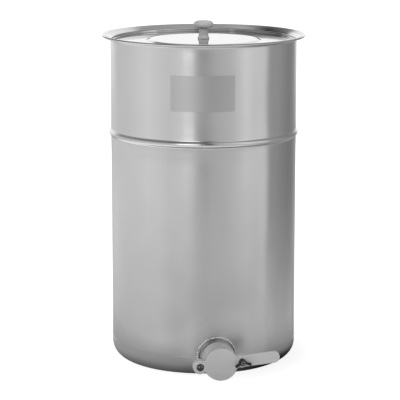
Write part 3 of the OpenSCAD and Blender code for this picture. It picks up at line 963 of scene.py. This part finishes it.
def plastic(name, tone, roughness, depth=0.0):
    """Moulded plastic with a fine grain, faint flow marks and rubbed patches."""
    made, n = material(name)
    flow = n.noise(n.place((14, 14, 14)), 1.0, detail=4.0)
    rubbed = n.noise(n.place((45, 45, 45)), 1.0, detail=6.0, rough=0.65)
    colour = n.ramp(flow, [(0.3, tone * 0.95), (0.7, tone * 1.04)])
    fine_grain = n.noise(n.place(), 900.0, detail=2.0)
    rough = n.math("ADD", n.span(flow, roughness - 0.05, roughness + 0.05), n.span(rubbed, -0.06, 0.06))
    shader = n.add("BsdfPrincipled", {
        "Base Color": colour, "Roughness": rough, "Normal": n.bump(fine_grain, 0.12, 0.1 * MM),
        "Subsurface Weight": depth, "Subsurface Radius": (1, 1, 1), "Subsurface Scale": 6 * MM})
    n.surface(shader.outputs[0])
    return made


def brass(name):
    made, n = material(name)
    patches = n.noise(n.place((90, 90, 90)), 1.0, detail=5.0)
    colour = n.ramp(patches, [(0.3, (0.62, 0.44, 0.17)), (0.7, (0.78, 0.6, 0.28))])
    shader = n.add("BsdfPrincipled", {
        "Base Color": colour, "Metallic": 1.0, "Roughness": n.span(patches, 0.22, 0.4),
        "Normal": n.bump(patches, 0.1, 0.1 * MM)})
    n.surface(shader.outputs[0])
    return made


def soft_band(*edges):
    """Stops of a ramp that rises between the first two edges and falls between the last two."""
    return list(zip(edges, (0.0, 1.0, 1.0, 0.0)))


def studio():
    """Soft studio all round: bright on the left and behind, dark on the right, with one lit panel."""
    world = bpy.data.worlds.new("studio")
    bpy.context.scene.world = world
    world.use_nodes = True
    n = Nodes(world.node_tree)
    way = n.add("SeparateXYZ", {"Vector": n.add("TexCoord").outputs["Generated"]}).outputs
    turn = n.math("ARCTAN2", way["X"], n.math("MULTIPLY", way["Y"], -1.0))
    around = n.math("ADD", n.math("DIVIDE", turn, 2 * math.pi), 0.5)
    height = n.math("ADD", n.math("DIVIDE", n.math("ARCSINE", way["Z"]), math.pi), 0.5)

    def by_turn(*stops):
        """A ramp over degrees from the front round to the right."""
        return n.ramp(around, [(degrees / 360 + 0.5, tone) for degrees, tone in stops])

    def by_height(*stops):
        """A ramp over degrees above the horizon."""
        return n.ramp(height, [(degrees / 180 + 0.5, tone) for degrees, tone in stops])

    def times(a, b):
        return n.mix(1.0, a, b, blend="MULTIPLY")

    def patch(light, sides, heights, tone):
        """A light with a patch of one tone laid over it."""
        return n.mix(times(by_turn(*sides), by_height(*heights)), light, (tone, tone, tone, 1))

    # Below the horizon
    upper = by_turn(
        (-180, 0.58), (-150, 0.74), (-110, 0.84), (-78, 1.0), (-51, 0.86), (-40, 0.92), (-31, 0.95),
        (-25, 0.86), (-14, 0.48), (-8, 0.39), (7, 0.6), (27, 0.72), (46, 1.03), (57, 0.89), (74, 0.88),
        (81, 0.43), (96, 0.44), (122, 0.3), (160, 0.4), (180, 0.58))
    lower = by_turn(
        (-180, 0.68), (-150, 0.94), (-64, 1.0), (-48, 0.9), (-12, 0.84), (12, 0.78), (57, 0.84),
        (73, 0.9), (80, 0.66), (96, 0.56), (122, 0.5), (160, 0.52), (180, 0.68))
    ground = by_height((-30, 1.25), (-20, 0.62), (-16, 0.5), (-14.5, 0.72), (-13.3, 0.86), (-11, 0.98))
    dim_ground = by_height((-30, 0.6), (-20, 0.6), (-16, 0.68), (-11, 0.98))
    dusk = by_height(
        (-17, 1.2), (-15.6, 1.7), (-14.6, 1.6), (-13.2, 0.84), (-12, 0.72), (-10.6, 0.6), (-9.6, 0.62),
        (-9, 1.0))
    walls = n.mix(by_height((-12, 1.0), (-9, 0.0)), upper, lower)
    walls = times(walls, n.mix(by_turn(*soft_band(45, 75, 130, 165)), ground, dim_ground))
    walls = n.mix(by_turn(*soft_band(76, 82, 135, 155)), walls, times(walls, dusk))

    # Above it in front: a dark gap beside the lit panel, and a lit strip that runs below the horizon
    left_fade = by_height((0, 1.0), (15, 0.6), (40, 0.4), (55, 0.22))
    right_fade = by_height((0, 1.0), (34, 1.0), (60, 0.9), (85, 0.6))
    front = times(upper, n.mix(by_turn((-65, 0.0), (0, 1.0)), left_fade, right_fade))
    front = patch(front, soft_band(-12, -9, 3, 9), soft_band(0, 4), GAP_LIGHT)
    front = patch(front, soft_band(-42, -37, -15, -11), soft_band(2, 5, 22, 28), PANEL_LIGHT)
    front = n.mix(by_height((-2, 0.0), (2, 1.0)), walls, front)
    front = patch(front, soft_band(-34, -31, -21, -18), soft_band(-8.4, -7.2, 2, 4), STRIP_LIGHT)

    # Above it behind
    left_sky = by_height(
        (20, BACK_LIGHT), (26, 0.02), (43, 0.02), (48, 0.2), (53, 0.5), (57, 0.6), (64, 0.38), (70, 0.42))
    right_sky = by_height((38, BACK_LIGHT), (44, 0.5), (70, 0.5))
    behind = n.mix(n.share(way["X"], -0.2, 0.2), left_sky, right_sky)
    behind = n.mix(by_height((-9, 0.0), (-5, 1.0)), walls, behind)
    backness = n.share(n.math("ABSOLUTE", turn), math.radians(140), math.radians(155))
    shown = n.add("Background", {"Color": n.mix(backness, front, behind), "Strength": 1.0})
    n.add("OutputWorld", {"Surface": shown.outputs[0]})


def light_card(card, made, n, tone, clear):
    """Makes a card glow in a tone, and gone where clear is 1. The camera and the shadows don't show it."""
    glow = n.add("Emission", {"Color": tone}).outputs[0]
    gone = n.add("BsdfTransparent").outputs[0]
    n.surface(n.add("MixShader", {0: clear, 1: glow, 2: gone}).outputs[0])
    card.data.materials.append(made)
    card.visible_camera = False
    card.visible_shadow = False
    card.visible_transmission = False


def standing_card(name, place, size, turn, tones):
    """An upright card with soft edges that only reflections show. Its tone runs from side to side."""
    bpy.ops.mesh.primitive_plane_add(size=1, location=place, rotation=(math.pi / 2, 0, turn))
    card = bpy.context.object
    card.name = name
    card.scale = (*size, 1)
    card.visible_diffuse = False
    made, n = material(name)
    spot = n.add("SeparateXYZ", {"Vector": n.add("TexCoord").outputs["Object"]}).outputs
    tone = n.ramp(n.math("ADD", spot["X"], 0.5), [(0.0, tones[0]), (1.0, tones[1])])
    out = n.math("MAXIMUM", n.math("ABSOLUTE", spot["X"]), n.math("ABSOLUTE", spot["Y"]))
    light_card(card, made, n, tone, clear=n.ramp(out, [(0.42, 0.0), (0.5, 1.0)]))


def lay_floor():
    """Plain pale floor that glows a little and that reflections don't show."""
    bpy.ops.mesh.primitive_plane_add(size=FLOOR_SIZE)
    floor = bpy.context.object
    floor.name = "floor"
    made, n = material("floor")
    shade = n.ramp(n.noise(n.place(), 2.0), [(0.3, 0.5), (0.7, 0.52)])
    plain = n.add("BsdfDiffuse", {"Color": shade}).outputs[0]
    lit = n.add("Emission", {"Color": (1, 1, 1, 1), "Strength": FLOOR_GLOW}).outputs[0]
    n.surface(n.add("AddShader", {0: plain, 1: lit}).outputs[0])
    floor.data.materials.append(made)
    floor.visible_glossy = False


def lay_card():
    """Round card that stands for the floor in reflections, with painted shadow: darker near the tank, on
    the right and towards the front.
    """
    bpy.ops.mesh.primitive_circle_add(
        vertices=96, radius=CARD_R, fill_type="NGON", location=(0, 0, CARD_LIFT))
    card = bpy.context.object
    card.name = "card"
    made, n = material("card")
    where = n.add("TexCoord").outputs["Object"]
    reach = n.add("VectorMath", {0: where}, operation="LENGTH").outputs["Value"]
    along = n.add("SeparateXYZ", {"Vector": where}).outputs
    # Painted shadow of the tank on the floor: dark close to the tank, lighter further out, darker on the
    # right
    left = n.ramp(reach, [(0.26, 0.06), (0.3, 0.25), (0.34, 0.4), (0.42, 0.46), (0.7, 0.5)])
    right = n.ramp(reach, [(0.27, 0.01), (0.31, 0.03), (0.36, 0.17), (0.44, 0.34), (0.7, 0.44)])
    tone = n.mix(n.share(along["X"], -0.15, 0.15), left, right)
    # Painted shade: the card grows darker towards the front
    front_painted_shade = n.span(n.share(along["Y"], -0.4, -0.1), 0.8, 1.0)
    tone = n.mix(1.0, tone, front_painted_shade, blend="MULTIPLY")
    light_card(card, made, n, tone, clear=n.ramp(reach, [(0.45, 0.0), (0.74, 1.0)]))


def hang_lamp():
    """One broad overhead light that reflections don't show."""
    lamp = bpy.data.lights.new("overhead", "SUN")
    lamp.angle = LAMP_SPREAD
    lamp.energy = LAMP_POWER
    holder = bpy.data.objects.new("overhead", lamp)
    holder.rotation_euler = LAMP_TILT
    holder.visible_glossy = False
    bpy.context.scene.collection.objects.link(holder)


def set_camera():
    out = Vector((math.sin(CAMERA_AZIMUTH), -math.cos(CAMERA_AZIMUTH), 0))
    right = Vector((math.cos(CAMERA_AZIMUTH), math.sin(CAMERA_AZIMUTH), 0))
    camera = bpy.data.objects.new("camera", bpy.data.cameras.new("camera"))
    camera.data.lens = CAMERA_LENS
    camera.location = out * CAMERA_DISTANCE + Vector((0, 0, CAMERA_HEIGHT))
    aim = right * AIM_SIDE + Vector((0, 0, AIM_HEIGHT))
    camera.rotation_euler = (aim - camera.location).to_track_quat("-Z", "Y").to_euler()
    bpy.context.scene.collection.objects.link(camera)
    bpy.context.scene.camera = camera
    bpy.context.scene.view_settings.view_transform = "Standard"


def stage():
    """Floor, light and camera, and the cards that the wall, the lid and the rim reflect."""
    lay_floor()
    lay_card()
    standing_card("flag", place=(-0.25, -0.4, 1.285), size=(0.5, 0.47), turn=0, tones=(0.2, 0.16))
    standing_card("shade", place=(0.42, -0.4, 1.285), size=(0.9, 0.47), turn=0, tones=(0.3, 0.25))
    standing_card(
        "side_flag", place=(-0.5, 0.2, 1.33), size=(1.1, 0.54), turn=math.pi / 2, tones=(0.32, 0.0))
    hang_lamp()
    set_camera()


UPRIGHT_GRAIN = (120, 120, 3)
TURNED_GRAIN = (200, 200, 200)
LID_GRAIN = (60, 60, 60)
GROUND_PATCH = ((0.06, -0.29, 0.09), 0.06, 0.17, 0.2)
finishes = {
    "drum_steel": steel("drum_steel", 0.61, 0.17, UPRIGHT_GRAIN, ground=GROUND_PATCH),
    "lid_steel": steel("lid_steel", 0.62, 0.07, LID_GRAIN, spread=0.02, mark=0.02),
    "socket_steel": steel("socket_steel", 0.42, 0.28, TURNED_GRAIN),
    "bolt_steel": steel("bolt_steel", 0.4, 0.14, TURNED_GRAIN),
    # A darker copy of bolt_steel: painted dark reflection for the bright stainless pivot and clamp bolts
    "painted_reflection_steel": steel("painted_reflection_steel", 0.12, 0.09, TURNED_GRAIN),
    "weld_steel": steel("weld_steel", 0.62, 0.2, TURNED_GRAIN),
    "grey_plastic": plastic("grey_plastic", 0.45, 0.4, depth=0.25),
    "knob_plastic": plastic("knob_plastic", 0.57, 0.42, depth=0.4),
    "black_plastic": plastic("black_plastic", 0.006, 0.5),
    "seal_rubber": plastic("seal_rubber", 0.03, 0.6),
    "insert_brass": brass("insert_brass"),
    "label_film": steel("label_film", 0.5, 0.34, UPRIGHT_GRAIN),
}


def finish(piece, body, slot, *nodes, look=None):
    """Gives a piece its finish and its body, and hides the nodes that it stands for."""
    piece.data.materials.clear()
    piece.data.materials.append(finishes[look or slot])
    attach(piece, body)
    if nodes:
        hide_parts(*nodes)


finish(make_wall(), "drum", "drum_steel", "drum_shell")
finish(make_bottom(), "drum", "drum_steel", "drum_bottom")
for weld in make_seams():
    finish(weld, "drum", "drum_steel")
finish(make_socket_weld(), "drum", "socket_steel", look="weld_steel")
finish(make_label(), "drum", "label_film", "label_plate")
finish(make_gate_body(), "drum", "grey_plastic", "gate_body")
# The pivot bolt is bright stainless; its darker finish is a painted dark reflection
finish(make_pivot_bolt(), "drum", "bolt_steel", "pivot_bolt", look="painted_reflection_steel")
finish(make_pivot_nut(), "drum", "bolt_steel", "pivot_nut")
# The clamp bolt is bright stainless; its darker finish is a painted dark reflection
finish(make_clamp_bolt(), "drum", "bolt_steel", "clamp_bolt", look="painted_reflection_steel")
finish(make_gate_blade(), "blade", "grey_plastic", "gate_blade")
finish(make_wing_nut(), "wing_nut", "black_plastic", "wing_nut")
finish(make_lid(), "lid", "lid_steel", "lid_pan")
finish(make_knob(), "lid", "knob_plastic", "lid_knob")
finish(make_knob_screw(), "lid", "bolt_steel", "knob_screw")

kept = {
    "outlet_socket": "socket_steel", "gate_gasket": "seal_rubber", "face_seal": "seal_rubber",
    "pivot_washer": "bolt_steel", "clamp_washer": "bolt_steel", "wing_nut_insert": "bolt_steel",
    "knob_insert": "insert_brass", "knob_washer": "bolt_steel",
}
for node, slot in kept.items():
    for holder in frame["nodes"][node].material_slots:
        holder.material = finishes[slot]

studio()
stage()
